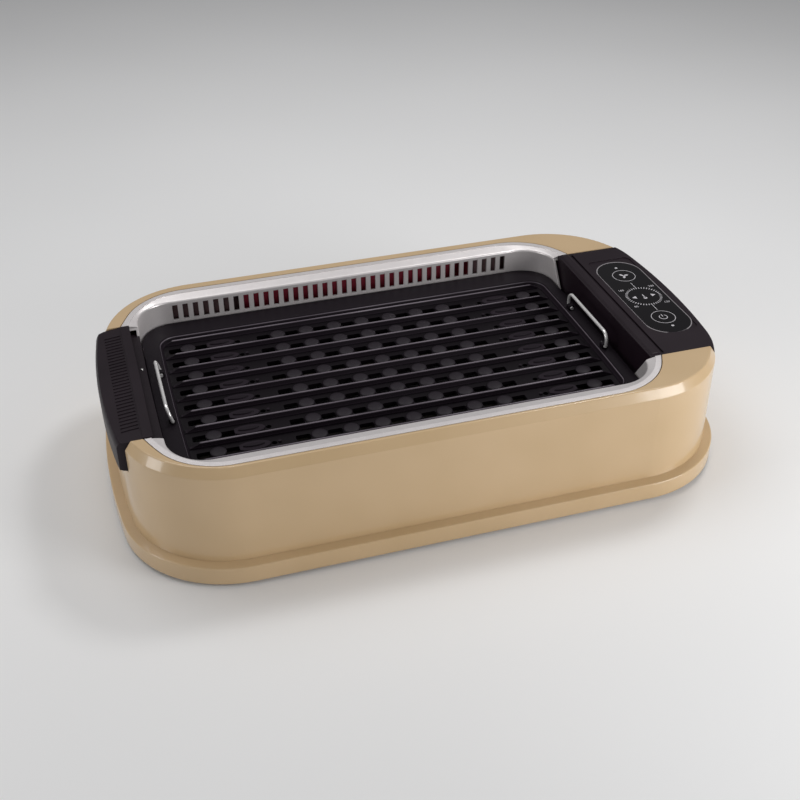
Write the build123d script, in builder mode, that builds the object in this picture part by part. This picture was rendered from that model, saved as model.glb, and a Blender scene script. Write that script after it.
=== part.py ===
"""Smokeless indoor grill: a long rounded housing on a plinth, with a slotted silver surround,
a ribbed cooking plate over a drip tray, a grip at the left end and a touch console at the right.

Millimetres. X runs along the grill to the console, Y to the back, Z up.
The origin is on the surface that the feet stand on, under the middle of the plinth.
"""

import os
from math import asin, cos, degrees, radians, sin

from build123d import *

# Housing and plinth
housing_length = 515.0
housing_depth = 301.0
housing_corner = 85.0
end_bow = 4.0
top_height = 106.0
shell_wall = 2.5
chamfer_width = 5.0
chamfer_height = 7.6
edge_round = 1.6
foot_height = 3.0
foot_radius = 11.0
foot_from_end = 57.5
foot_from_side = 42.5
foot_round = 1.0
plinth_overhang = 8.0
plinth_side = 15.0
plinth_top = 19.3
plinth_wall = 2.5
plinth_round = 1.2
floor_lift = 3.0
floor_thickness = 2.5
locating_rise = 4.5
locating_wall = 2.0
vent_width = 3.0
vent_length = 34.0
vent_pitch = 9.0
seam = 0.3
cover_seam = 0.6

# Cooking well and its silver surround
ledge_front = 3.0
ledge_back = 9.0
ledge_left = 1.5
ledge_right = 37.5
surround_corner = 58.5
surround_bow = 19.3
band_width = 15.2
band_left = 30.4
band_right = 33.6
band_strip = 5.0
band_step = 0.6
band_fall = 2.8
band_thickness = 1.9
band_drop = 0.1
band_round = 1.8
well_corner = 32.0
well_bow = 1.0
wall_slant = 0.7
wall_end_drop = 3.0
surround_wall = 2.0
surround_gap = 0.8
lip_width = 5.0
lip_thickness = 2.5
slot_count = 35
slot_end_gap = 40.52
slot_width = 5.0
slot_top_drop = 3.9
slot_height = 15.1
slot_shift = -2.9

# Grip at the left end
grip_length = 174.0
grip_bulge = 4.6
grip_height = 28.0
grip_wall = 3.0
grip_top_wall = 6.0
grip_round = 9.0
grip_corner = 18.0
grip_clear = 0.5
grip_rise = 0.5
grip_recess = 4.2
grip_ledge_drop = 9.0
grip_strip = 7.8
grip_step = 0.7
grip_slope = 1.8
grip_slope_run = 17.0
grip_gap = 0.7
groove_count = 31
groove_pitch = 4.8
groove_width = 2.2
groove_depth = 0.55
groove_length = 14.0
groove_start = 1.0

# Console at the right end
console_length = 194.0
console_recess = 3.2
console_drop = 0.5
console_wall = 3.0
console_inset = 2.0
console_round = 1.5
bead_width = 12.0
bead_rise = 1.0
bead_depth = 8.0
bead_round = 4.0
bead_groove = 2.2
bead_groove_depth = 1.6
panel_length = 135.0
panel_width = 42.0
panel_thickness = 2.0
panel_from_edge = 30.5
panel_shift = 1.5
panel_ledge = 3.0
panel_seat = 1.7
bezel_width = 0.9
bezel_rise = 0.15
fit_gap = 0.1
recess_left = 22.0
recess_right = 21.0
recess_back = 73.5
recess_front = 67.0
recess_corner = 6.0
recess_depth = 0.8

# Cooking plate
plate_gap = 1.0
rim_drop = 21.1
rim_thickness = 3.0
rim_round = 1.0
pan_depth = 5.8
pan_shift = 1.6
pan_rim_end = 13.0
pan_rim_side = 23.3
pan_corner = 16.0
pan_bow = 1.0
pan_slope = 3.0
pan_round = 0.8
rib_count = 9
rib_side_gap = 6.8
rib_end_gap = 2.5
rib_height = 4.8
rib_root = 1.0
wide_rib = 5.0
narrow_rib = 3.6
rib_crest = 1.1
rib_end_slope = 12.0
rib_end_foot = 0.5
drain_pitch = 26.5
drains_from_end = (36.5, 14.5)
disc_from_end = 25.5
drain_length = 12.0
drain_width = 7.6
drain_round = 1.6
disc_radius = 7.2
disc_rise = 0.9
disc_taper = 35.0
hump_from_end = 54.0
hump_length = 28.0
hump_width = 13.0
hump_rise = 1.3
hump_taper = 25.0
hump_crest_length = 19.0
hump_crest_width = 6.0
hump_crest_rise = 2.4
hole_from_end = 70.5
hole_radius = 2.3
stud_spread = 4.4
stud_radius = 1.4
stud_rise = 1.6

# Bails of the plate
bail_wire = 3.0
bail_span = 84.0
bail_height = 13.2
bail_top_bend = 8.0
bail_foot_bend = 2.0
bail_foot = 6.5
bail_from_pan = 3.6
bail_lean = 15.6
pivot_height = 2.0
pivot_clearance = 0.08
lug_length = 5.0
lug_width = 5.4
lug_cover = 0.9
lug_round = 1.4
lug_gap = 0.5

# Heating element, plug and socket
element_wire = 6.5
element_gap = 0.75
element_near = 15.0
element_side_gap = 25.0
element_bend = 13.0
element_left_gap = 17.0
element_outer_gap = 3.0
element_right_gap = 25.0
clip_left_gap = 69.0
clip_right_gap = 79.0
clip_width = 8.0
clip_thickness = 1.2
clip_leg = 3.0
plug_width = 11.5
plug_length = 60.0
plug_from_tub = 14.75
plug_round = 1.5
plug_height = 18.5
pin_radius = 2.3
pin_length = 14.0
pin_pitch = 18.0
pin_clearance = 0.3
pin_bottom_gap = 1.0
pin_round = 1.0

# Tub and drip tray
tub_end_inset = 2.6
tub_side_inset = 17.3
tub_corner = 34.0
tub_bow = 1.0
tub_draft = 6.0
tub_bottom = 22.0
tub_wall = 1.2
rest_gap = 0.3
support_radius = 6.0
support_from_end = 50.0
support_from_side = 37.0
tray_gap = 8.5
tray_plug_gap = 1.0
tray_corner = 12.0
tray_wall = 1.2
tray_head_room = 10.0
tray_rim = 2.5
tray_draft = 2.0

# Smoke duct and blower
duct_from_end = 137.0
duct_inlet_gap = 41.5
duct_wall = 1.5
duct_back_gap = 3.0
duct_front_gap = 1.3
duct_bottom = 62.0
duct_top_gap = 0.3
duct_sill = 1.3
baffle_thickness = 1.5
baffle_gap = 0.3
baffle_depth = 7.0
baffle_margin = 9.0
scroll_radius = 21.0
scroll_height = 38.0
outlet_bottom = 20.0
outlet_height = 17.0
outlet_margin = 10.5
outlet_slot_pitch = 12.0
outlet_slot_width = 4.0
outlet_slot_bottom = 25.0
outlet_slot_height = 12.0
saddle_width = 24.0
saddle_length = 16.0
impeller_radius = 15.5
impeller_end_gap = 2.5
impeller_disc = 1.6
blade_inset = 0.4
blade_turn = 28.0
blade_count = 20
blade_depth = 4.5
blade_thickness = 0.9
shaft_radius = 2.0
shaft_clearance = 0.08
shaft_hole = 3.5
shaft_end = 1.0
bearing_radius = 6.0
bearing_length = 5.0
motor_radius = 17.0
motor_length = 42.0
motor_gap = 3.0
motor_bore = 6.0
motor_round = 2.0
motor_boss = 4.0
motor_nose = 3.0
cradle_length = 20.0
cradle_width = 26.0
cradle_height = 20.0

# Electronics in the right end
post_radius = 5.0
post_bite = 1.0
screw_radius = 1.9
screw_clearance = 0.4
screw_head_radius = 3.6
screw_head_height = 2.2
screw_length = 15.0
board_thickness = 1.6
board_from_end = 38.5
power_board_length = 150.0
power_board_width = 46.0
standoff_height = 8.0
standoff_radius = 3.5
standoff_inset = 6.0
touch_board_length = 118.0
touch_board_width = 32.0
sensor_inset = 10.0
sensor_side = 3.0
relay_size = (19.0, 16.0, 15.0)
relay_round = 0.8
relay_y = 38.0
capacitor_radius = 8.0
capacitor_height = 26.0
capacitor_round = 1.0
capacitor_y = -50.0
sink_size = (30.0, 34.0, 24.0)
sink_y = -8.0
fin_count = 6
fin_thickness = 1.4
fin_base = 4.0
shield_gap = 12.2
shield_thickness = 0.8
shield_foot = 7.0
shield_side_gap = 15.0
cutoff_radius = 8.0
cutoff_height = 6.0
cutoff_tab = (5.0, 6.0)
cutoff_x = 60.0
inlet_from_end = 111.5
inlet_z = 46.0
inlet_width = 30.0
inlet_height = 23.0
inlet_depth = 22.0
inlet_flange = 3.5
inlet_flange_thickness = 2.5
inlet_wall = 2.5
inlet_pin = (2.0, 13.0, 5.0)
inlet_pin_pitch = 7.0
inlet_pin_low = -1.5
inlet_pin_high = 2.5

# Worked out from the sizes above
middle = (0.0, 0.0)
housing = (housing_length / 2, housing_depth / 2, housing_corner, end_bow)
surround_half_length = housing_length / 2 - chamfer_width - (ledge_left + ledge_right) / 2
surround_half_depth = housing_depth / 2 - chamfer_width - (ledge_front + ledge_back) / 2
surround_outer = (surround_half_length, surround_half_depth, surround_corner, surround_bow)
surround_x = (ledge_left - ledge_right) / 2
well_x = surround_x + (band_left - band_right) / 2
well_y = (ledge_front - ledge_back) / 2
surround_middle = (surround_x, well_y)
well_middle = (well_x, well_y)
well_half_length = surround_half_length - (band_left + band_right) / 2
well_half_depth = surround_half_depth - band_width
well = (well_half_length, well_half_depth, well_corner, well_bow)
chamfer_low = top_height - chamfer_height
floor_bottom = foot_height + floor_lift
floor_top = floor_bottom + floor_thickness
surround_top = top_height - band_drop
well_edge = surround_top - band_fall
lip_top = well_edge - band_thickness
lip_bottom = lip_top - lip_thickness
plate_outline = (
    well_half_length - plate_gap,
    well_half_depth - plate_gap,
    well_corner - plate_gap,
    well_bow,
)
rim_top = well_edge - rim_drop
pan_x = well_x + pan_shift
pan_middle = (pan_x, well_y)
pan_half_length = well_half_length - plate_gap - pan_rim_end
pan_half_depth = well_half_depth - plate_gap - pan_rim_side
pan_opening = (pan_half_length, pan_half_depth, pan_corner, pan_bow)
rim_bottom = rim_top - rim_thickness
pan_floor = rim_top - pan_depth
pan_bottom = pan_floor - rim_thickness
tub_top = pan_bottom - rest_gap
tub_floor = tub_bottom + tub_wall
tub_half_length = well_half_length - tub_end_inset
tub_half_depth = well_half_depth - tub_side_inset
tub = (tub_half_length, tub_half_depth, tub_corner, tub_bow)
grip_top = top_height + grip_rise
grip_bottom = top_height - grip_height
grip_inner = well_x - well_half_length - surround_wall - grip_gap
grip_edge = grip_inner - grip_recess
grip_ledge = top_height - grip_ledge_drop
console_x = well_x + well_half_length + console_recess
console_top = top_height - console_drop
console_ceiling = console_top - console_wall
recess_floor = console_top - recess_depth
panel_bottom = recess_floor - panel_thickness
panel_x = housing_length / 2 - panel_from_edge
panel_y = well_y + panel_shift
seat_bottom = panel_bottom - panel_seat
duct_back = housing_depth / 2 - shell_wall - duct_back_gap
duct_front = well_y + well_half_depth + surround_wall + duct_front_gap
inlet_x = housing_length / 2 - inlet_from_end
duct_left = duct_from_end - housing_length / 2
duct_right = inlet_x - duct_inlet_gap
duct_middle = (duct_left + duct_right) / 2
duct_top = lip_bottom - duct_top_gap
blower_y = duct_back - scroll_radius
blower_z = scroll_height
slot_top = well_edge - slot_top_drop
slot_bottom = slot_top - slot_height
slot_pitch = 2 * (well_half_length - slot_end_gap) / (slot_count - 1)
slot_middle = well_x + slot_shift
slot_half_span = (slot_count - 1) * slot_pitch / 2
rear_wall_y = well_y + well_half_depth
rib_pitch = 2 * (pan_half_depth - rib_side_gap) / (rib_count - 1)
rib_half_length = pan_half_length - rib_end_gap
rib_offsets = [(i - (rib_count - 1) / 2) * rib_pitch for i in range(rib_count)]
valley_offsets = [(i - (rib_count - 2) / 2) * rib_pitch for i in range(rib_count - 1)]
inner_drains = 1 + int((pan_half_length - hole_from_end - drain_length) / drain_pitch)
drain_row = [(i + 0.5) * drain_pitch for i in range(inner_drains)]
drain_row += [pan_half_length - gap for gap in drains_from_end]
disc_row = [i * drain_pitch for i in range(inner_drains)] + [pan_half_length - disc_from_end]
pivot_z = rim_top + pivot_height
bail_half = (bail_span - bail_wire) / 2
element_z = pan_bottom - element_gap - element_wire / 2
element_outer = pan_half_depth - element_side_gap
element_runs = (element_near, (element_near + element_outer) / 2, element_outer)
clip_bottom = element_z - element_wire / 2 - clip_thickness
plug_x = well_x + tub_half_length - plug_from_tub
plug_top = pan_bottom - element_gap
plug_bottom = plug_top - plug_height
socket_top = plug_bottom - rest_gap
pin_places = [(plug_x, well_y + i * pin_pitch) for i in (-1, 0, 1)]
tray_left = well_x - tub_half_length + tray_gap + tray_rim
tray_right = plug_x - plug_width / 2 - tray_plug_gap - tray_rim
tray_half_length = (tray_right - tray_left) / 2
tray_half_depth = tub_half_depth - tray_gap - tray_rim
tray_middle = ((tray_left + tray_right) / 2, well_y)
tray_bottom = tub_floor + rest_gap
tray_top = clip_bottom - tray_head_room
tray = (tray_half_length, tray_half_depth, tray_corner, tub_bow)
power_board_x = housing_length / 2 - board_from_end
shield_x = well_x + tub_half_length + shield_gap
shield_half_length = tub_half_depth - shield_side_gap
foot_x = housing_length / 2 - foot_from_end
foot_y = housing_depth / 2 - foot_from_side
board_bottom = floor_top + standoff_height
board_top = board_bottom + board_thickness
post_reach = (housing_corner - shell_wall - post_radius + post_bite) * cos(radians(45))
post_x = housing_length / 2 - housing_corner - end_bow + post_reach
post_y = housing_depth / 2 - housing_corner + post_reach
front_post_y = shell_wall + post_radius - post_bite - housing_depth / 2
post_places = [(sx * post_x, sy * post_y) for sx in (-1, 1) for sy in (-1, 1)]
post_places += [(sx * post_x / 3, front_post_y) for sx in (-1, 1)]
board_places = [
    (
        power_board_x + sx * (power_board_width / 2 - standoff_inset),
        well_y + sy * (power_board_length / 2 - standoff_inset),
    )
    for sx in (-1, 1)
    for sy in (-1, 1)
]
far = housing_length


def grown(shape, amount):
    """The outline that lies amount outside shape, or inside it where amount is negative."""
    half_length, half_depth, corner, bow = shape
    return (half_length + amount, half_depth + amount, corner + amount, bow)


def bowed_outline(half_length, half_depth, corner, bow):
    """Fills a rounded rectangle whose two short ends bow outward, in the sketch in hand."""
    core_x = half_length - corner
    core_y = half_depth - corner
    end_radius = (core_y**2 + bow**2) / (2 * bow)
    end_angle = degrees(asin(core_y / end_radius))
    corner_x = core_x - bow
    turn = 90 - end_angle
    with BuildLine() as edge:
        CenterArc((core_x - end_radius, 0), end_radius + corner, -end_angle, 2 * end_angle)
        CenterArc((corner_x, core_y), corner, end_angle, turn)
        Line((corner_x, half_depth), (-corner_x, half_depth))
        CenterArc((-corner_x, core_y), corner, 90, turn)
        CenterArc((end_radius - core_x, 0), end_radius + corner, 180 - end_angle, 2 * end_angle)
        CenterArc((-corner_x, -core_y), corner, 180 + end_angle, turn)
        Line((-corner_x, -half_depth), (corner_x, -half_depth))
        CenterArc((corner_x, -core_y), corner, 270, turn)
    make_face(edge.line)


def outline_at(shape, centre, height):
    """A sketch of the bowed outline at a height."""
    with BuildSketch(Plane((centre[0], centre[1], height))) as footprint:
        bowed_outline(*shape)
    return footprint.sketch


def bowed_block(shape, centre, low, high, mode=Mode.ADD):
    """Adds an upright block with a bowed outline to the part in hand."""
    extrude(outline_at(shape, centre, low), amount=high - low, mode=mode)


def bowed_taper(low_shape, low, high_shape, high, centre, mode=Mode.ADD, high_centre=None):
    """Adds a block that runs straight from one bowed outline up to another."""
    sections = [outline_at(low_shape, centre, low), outline_at(high_shape, high_centre or centre, high)]
    loft(sections, ruled=True, mode=mode)


def box_between(low, high, mode=Mode.ADD):
    """Adds a box given by its lowest and highest corners to the part in hand."""
    spans = [b - a for a, b in zip(low, high)]
    with Locations(low):
        Box(*spans, align=(Align.MIN, Align.MIN, Align.MIN), mode=mode)


def strip_between(x_low, x_high, half_depth, low, high, mode=Mode.ADD):
    """Adds a box that is centred on the well's middle line to the part in hand."""
    box_between((x_low, well_y - half_depth, low), (x_high, well_y + half_depth, high), mode)


def slanted_gap(x_low, x_high, half_depth, mode=Mode.SUBTRACT):
    """Cuts the part in hand across the well's middle line, narrower further down by the walls' slant."""
    knee = surround_top - wall_end_drop
    foot = half_depth - wall_slant * knee
    with BuildSketch(Plane((x_low, well_y, 0), x_dir=(0, 1, 0), z_dir=(1, 0, 0))) as gap:
        Polygon(
            (-foot, 0),
            (foot, 0),
            (half_depth, knee),
            (half_depth, far),
            (-half_depth, far),
            (-half_depth, knee),
            align=None,
        )
    extrude(gap.sketch, amount=x_high - x_low, mode=mode)


def uprights(places, radius, low, high, mode=Mode.ADD):
    """Adds upright cylinders to the part in hand."""
    with Locations([(x, y, low) for x, y in places]):
        Cylinder(radius, high - low, align=(Align.CENTER, Align.CENTER, Align.MIN), mode=mode)


def lying_disc(x, radius):
    """A sketch of a disc that faces along X on the blower's axis."""
    with BuildSketch(Plane((x, blower_y, blower_z), x_dir=(0, 1, 0), z_dir=(1, 0, 0))) as disc:
        Circle(radius)
    return disc.sketch


def lying_block(x_low, x_high, radius, mode=Mode.ADD):
    """Adds a cylinder that lies along X on the blower's axis to the part in hand."""
    extrude(lying_disc(x_low, radius), amount=x_high - x_low, mode=mode)


def edges_at(piece, height):
    """The edges of a piece that lie flat at a height."""
    return piece.edges().filter_by(
        lambda e: abs(e.bounding_box().min.Z - height) < 0.01 and abs(e.bounding_box().max.Z - height) < 0.01
    )


def finish(piece, name):
    """Labels a piece and writes it to its own file."""
    piece.part.label = name
    export_step(piece.part, f"parts/{name}.step")


os.makedirs("parts", exist_ok=True)

# Outer shell: walls, chamfered top and ledge, open for the surround, the grip and the console
with BuildPart() as outer_shell:
    bowed_block(housing, middle, plinth_top, chamfer_low)
    bowed_taper(housing, chamfer_low, grown(housing, -chamfer_width), top_height, middle)
    fillet(edges_at(outer_shell, chamfer_low) + edges_at(outer_shell, top_height), edge_round)
    bowed_block(grown(housing, -shell_wall), middle, plinth_top, chamfer_low, Mode.SUBTRACT)
    bowed_taper(
        grown(housing, -shell_wall),
        chamfer_low,
        grown(housing, -shell_wall - chamfer_width),
        top_height - shell_wall,
        middle,
        Mode.SUBTRACT,
    )
    with BuildPart(mode=Mode.PRIVATE) as collar:
        collar_top = top_height - shell_wall / 2
        bowed_block(grown(surround_outer, surround_gap + shell_wall), surround_middle, lip_bottom, collar_top)
        bowed_block(grown(housing, -chamfer_width), middle, lip_bottom, collar_top, Mode.INTERSECT)
    add(collar.part)
    bowed_block(grown(surround_outer, surround_gap), surround_middle, lip_top, far, Mode.SUBTRACT)
    bowed_block(grown(surround_outer, -lip_width), surround_middle, 0, far, Mode.SUBTRACT)
    uprights(post_places, post_radius, floor_top + seam, lip_bottom)
    uprights(post_places, screw_radius, floor_top, floor_top + screw_length, Mode.SUBTRACT)
    strip_between(-far, well_x, grip_length / 2 + cover_seam, grip_bottom - cover_seam, far, Mode.SUBTRACT)
    strip_between(well_x, far, console_length / 2 + cover_seam, chamfer_low - cover_seam, far, Mode.SUBTRACT)
    with Locations((inlet_x, housing_depth / 2, inlet_z)):
        Box(inlet_width, 4 * shell_wall, inlet_height, mode=Mode.SUBTRACT)
    outlet_slot_count = 1 + int((duct_right - duct_left - 2 * outlet_margin) / outlet_slot_pitch)
    outlet_span = (outlet_slot_count - 1) / 2
    outlet_xs = [duct_middle + (i - outlet_span) * outlet_slot_pitch for i in range(outlet_slot_count)]
    with Locations([(x, housing_depth / 2, outlet_slot_bottom + outlet_slot_height / 2) for x in outlet_xs]):
        Box(outlet_slot_width, 4 * shell_wall, outlet_slot_height, mode=Mode.SUBTRACT)
finish(outer_shell, "outer_shell")

# Base plinth: the flange that the shell stands on, the floor, and what stands on the floor
locating_outline = grown(housing, -shell_wall - seam)
plinth_outline = grown(housing, plinth_overhang)
flange_level = foot_height + plinth_side
with BuildPart() as base_plinth:
    bowed_block(plinth_outline, middle, foot_height, flange_level)
    bowed_taper(plinth_outline, flange_level, housing, plinth_top, middle)
    fillet(edges_at(base_plinth, flange_level), plinth_round)
    bowed_block(locating_outline, middle, plinth_top, plinth_top + locating_rise)
    bowed_block(grown(locating_outline, -locating_wall), middle, floor_top, far, Mode.SUBTRACT)
    hollow = grown(plinth_outline, -plinth_wall)
    bowed_block(hollow, middle, floor_top, flange_level - plinth_wall, Mode.SUBTRACT)
    bowed_block(hollow, middle, 0, floor_bottom, Mode.SUBTRACT)
    uprights(
        [
            (
                well_x + sx * (tub_half_length - support_from_end),
                well_y + sy * (tub_half_depth - support_from_side),
            )
            for sx in (-1, 1)
            for sy in (-1, 1)
        ],
        support_radius,
        floor_top,
        tub_bottom,
    )
    uprights(board_places, standoff_radius, floor_top, board_bottom)
    uprights(post_places, post_radius + seam, floor_top, far, Mode.SUBTRACT)
    uprights(post_places, screw_radius + screw_clearance, 0, far, Mode.SUBTRACT)
    vents = [(duct_middle + i * vent_pitch, 0, floor_bottom) for i in range(-9, 10)]
    with Locations(vents):
        Box(vent_width, vent_length, 3 * floor_thickness, mode=Mode.SUBTRACT)
    board_vents = [(power_board_x + i * vent_pitch, well_y, floor_bottom) for i in (-1, 0, 1)]
    with Locations(board_vents):
        Box(vent_width, 2 * vent_length, 3 * floor_thickness, mode=Mode.SUBTRACT)
finish(base_plinth, "base_plinth")

# Surround: a band around the well with a wall that drops from its inner edge
strip_edge = grown(surround_outer, -band_strip)
with BuildPart() as surround:
    bowed_block(surround_outer, surround_middle, lip_top, surround_top)
    bowed_block(grown(well, surround_wall), well_middle, tub_top, lip_top)
    bowed_block(strip_edge, surround_middle, surround_top - band_step, far, Mode.SUBTRACT)
    bowed_taper(
        well,
        well_edge,
        strip_edge,
        surround_top - band_step,
        well_middle,
        Mode.SUBTRACT,
        surround_middle,
    )
    bowed_block(well, well_middle, 0, far, Mode.SUBTRACT)
    fillet(edges_at(surround, well_edge), band_round)
    slanted_gap(well_x, far, console_length / 2 + cover_seam)
    slanted_gap(-far, well_x - well_half_length + well_corner, grip_length / 2 + cover_seam)
    slot_xs = [slot_middle - slot_half_span + i * slot_pitch for i in range(slot_count)]
    with Locations([(x, rear_wall_y, (slot_top + slot_bottom) / 2) for x in slot_xs]):
        Box(slot_width, 6 * surround_wall, slot_height, mode=Mode.SUBTRACT)

with BuildPart() as rear_surround:
    add(surround.part)
    box_between((-far, well_y + seam / 2, 0), (far, far, far), Mode.INTERSECT)
finish(rear_surround, "rear_surround")

with BuildPart() as front_surround:
    add(surround.part)
    box_between((-far, -far, 0), (far, well_y - seam / 2, far), Mode.INTERSECT)
finish(front_surround, "front_surround")

# Left grip: a hollow cap over the housing's end, a black wall beside the plate, and grooves
grip_outline = grown(housing, grip_bulge)
slope_start = grip_edge - grip_strip
grip_half = grip_length / 2
grip_reach = housing_length / 2 + grip_bulge + grip_clear
with BuildPart() as left_grip:
    bowed_block(grip_outline, middle, grip_bottom, grip_top)
    fillet(edges_at(left_grip, grip_top), grip_round)
    with BuildSketch(Plane((0, well_y, grip_bottom))) as grip_footprint:
        RectangleRounded(2 * grip_reach, grip_length, grip_corner)
    extrude(grip_footprint.sketch, amount=far, mode=Mode.INTERSECT)
    strip_between(-far, grip_inner, far, grip_bottom, far, Mode.INTERSECT)
    with BuildPart(mode=Mode.PRIVATE) as grip_side:
        strip_between(grip_inner - grip_wall, well_x, grip_half, tub_top, grip_ledge)
        bowed_block(well, well_middle, 0, far, Mode.SUBTRACT)
        slanted_gap(-far, well_x, grip_half, Mode.INTERSECT)
    add(grip_side.part)
    strip_between(grip_edge, grip_inner + 1, far, grip_ledge, far, Mode.SUBTRACT)
    with BuildPart(mode=Mode.PRIVATE) as grip_hollow:
        hollow_top = grip_top - grip_top_wall
        bowed_block(grown(grip_outline, -grip_wall), middle, 0, hollow_top)
        fillet(edges_at(grip_hollow, hollow_top), grip_round - grip_wall)
        hollow_half = grip_half - grip_wall - grip_bulge
        strip_between(-far, grip_edge - grip_wall, hollow_half, 0, far, Mode.INTERSECT)
    add(grip_hollow.part, mode=Mode.SUBTRACT)
    with BuildSketch(Plane.XZ.offset(-far)) as slope:
        Polygon(
            (slope_start, grip_top - grip_step),
            (slope_start - far, grip_top - grip_step - grip_slope * far / grip_slope_run),
            (slope_start - far, grip_top + far),
            (slope_start, grip_top + far),
            align=None,
        )
    extrude(slope.sketch, amount=2 * far, mode=Mode.SUBTRACT)
    groove_span = (groove_count - 1) / 2
    groove_angle = degrees(asin(grip_slope / grip_slope_run))
    groove_x = slope_start - groove_start - groove_length / 2
    groove_z = grip_top - grip_step - grip_slope * (slope_start - groove_x) / grip_slope_run
    groove_ys = [well_y + (i - groove_span) * groove_pitch for i in range(groove_count)]
    with Locations([Location((groove_x, y, groove_z), (0, -groove_angle, 0)) for y in groove_ys]):
        Box(groove_length, groove_width, 2 * groove_depth, mode=Mode.SUBTRACT)
finish(left_grip, "left_grip")

# Console housing: a cover over the right end, with a bead along the well and a seat for the panel
panel_half = (panel_length - panel_width) / 2
with BuildPart() as console_housing:
    bowed_taper(housing, chamfer_low, grown(housing, -console_inset), console_top, middle)
    fillet(edges_at(console_housing, console_top), console_round)
    strip_between(console_x, far, console_length / 2, chamfer_low, far, Mode.INTERSECT)
    with BuildPart(mode=Mode.PRIVATE) as console_hollow:
        bowed_taper(
            grown(housing, -console_wall),
            chamfer_low,
            grown(housing, -console_wall - console_inset),
            console_ceiling,
            middle,
        )
        strip_between(console_x, far, console_length / 2 - console_wall, 0, far, Mode.INTERSECT)
    add(console_hollow.part, mode=Mode.SUBTRACT)
    strip_between(console_x, console_x + console_wall, console_length / 2, tub_top, console_top)
    with BuildPart(mode=Mode.PRIVATE) as bead:
        strip_between(
            console_x,
            console_x + bead_width,
            console_length / 2,
            console_top + bead_rise - bead_depth,
            console_top + bead_rise,
        )
        fillet(edges_at(bead, console_top + bead_rise), bead_round)
    add(bead.part)
    strip_between(
        console_x + bead_width,
        console_x + bead_width + bead_groove,
        console_length / 2 - console_wall,
        console_top - bead_groove_depth,
        far,
        Mode.SUBTRACT,
    )
    with BuildSketch(Plane((panel_x, panel_y, seat_bottom))) as seat:
        SlotCenterToCenter(2 * panel_half, panel_width + 2 * panel_ledge, rotation=90)
    extrude(seat.sketch, amount=console_ceiling - seat_bottom)
    recess_x = (recess_right - recess_left) / 2
    recess_y = (recess_back - recess_front) / 2
    with BuildSketch(Plane((panel_x + recess_x, panel_y + recess_y, recess_floor))) as recess:
        RectangleRounded(recess_left + recess_right, recess_back + recess_front, recess_corner)
    extrude(recess.sketch, amount=far, mode=Mode.SUBTRACT)
    with BuildSketch(Plane((panel_x, panel_y, panel_bottom))) as pocket:
        SlotCenterToCenter(2 * panel_half, panel_width + 2 * bezel_width + 4 * fit_gap, rotation=90)
    extrude(pocket.sketch, amount=far, mode=Mode.SUBTRACT)
    with BuildSketch(Plane((panel_x, panel_y, 0))) as window:
        SlotCenterToCenter(2 * panel_half, panel_width - 2 * panel_ledge, rotation=90)
    extrude(window.sketch, amount=far, mode=Mode.SUBTRACT)
finish(console_housing, "console_housing")

# Touch panel and the thin bezel around it
with BuildPart() as touch_panel:
    with BuildSketch(Plane((panel_x, panel_y, panel_bottom))) as glass:
        SlotCenterToCenter(2 * panel_half, panel_width, rotation=90)
    extrude(glass.sketch, amount=panel_thickness)
finish(touch_panel, "touch_panel")

with BuildPart() as panel_bezel:
    with BuildSketch(Plane((panel_x, panel_y, panel_bottom))) as bezel_ring:
        SlotCenterToCenter(2 * panel_half, panel_width + 2 * bezel_width + 2 * fit_gap, rotation=90)
        SlotCenterToCenter(2 * panel_half, panel_width + 2 * fit_gap, rotation=90, mode=Mode.SUBTRACT)
    extrude(bezel_ring.sketch, amount=panel_thickness + bezel_rise)
finish(panel_bezel, "panel_bezel")

with BuildPart() as touch_board:
    with Locations((panel_x, panel_y, seat_bottom - board_thickness / 2)):
        Box(touch_board_width, touch_board_length, board_thickness)
    with BuildSketch(Plane((panel_x, panel_y, seat_bottom))) as sensor:
        SlotCenterToCenter(
            2 * (panel_half - sensor_inset),
            panel_width - 2 * (panel_ledge + sensor_side),
            rotation=90,
        )
    extrude(sensor.sketch, amount=panel_seat)
finish(touch_board, "touch_board")

# Power board on the plinth's standoffs, and the larger parts on it
with BuildPart() as power_board:
    with Locations((power_board_x, well_y, board_bottom + board_thickness / 2)):
        Box(power_board_width, power_board_length, board_thickness)
    uprights(board_places, screw_radius, 0, far, Mode.SUBTRACT)
finish(power_board, "power_board")

with BuildPart() as relay:
    with Locations((power_board_x, well_y + relay_y, board_top + relay_size[2] / 2)):
        Box(*relay_size)
    fillet(relay.edges().filter_by(Axis.Z), relay_round)
finish(relay, "relay")

with BuildPart() as capacitor:
    capacitor_top = board_top + capacitor_height
    uprights([(power_board_x, well_y + capacitor_y)], capacitor_radius, board_top, capacitor_top)
    fillet(edges_at(capacitor, capacitor_top), capacitor_round)
finish(capacitor, "capacitor")

with BuildPart() as heat_sink:
    with Locations((power_board_x, well_y + sink_y, board_top + sink_size[2] / 2)):
        Box(*sink_size)
    fin_room = (sink_size[1] - fin_count * fin_thickness) / (fin_count - 1)
    first_room = well_y + sink_y - sink_size[1] / 2 + fin_thickness + fin_room / 2
    rooms = [
        (power_board_x, first_room + i * (fin_room + fin_thickness), board_top + fin_base + sink_size[2] / 2)
        for i in range(fin_count - 1)
    ]
    with Locations(rooms):
        Box(2 * sink_size[0], fin_room, sink_size[2], mode=Mode.SUBTRACT)
finish(heat_sink, "heat_sink")

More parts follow.
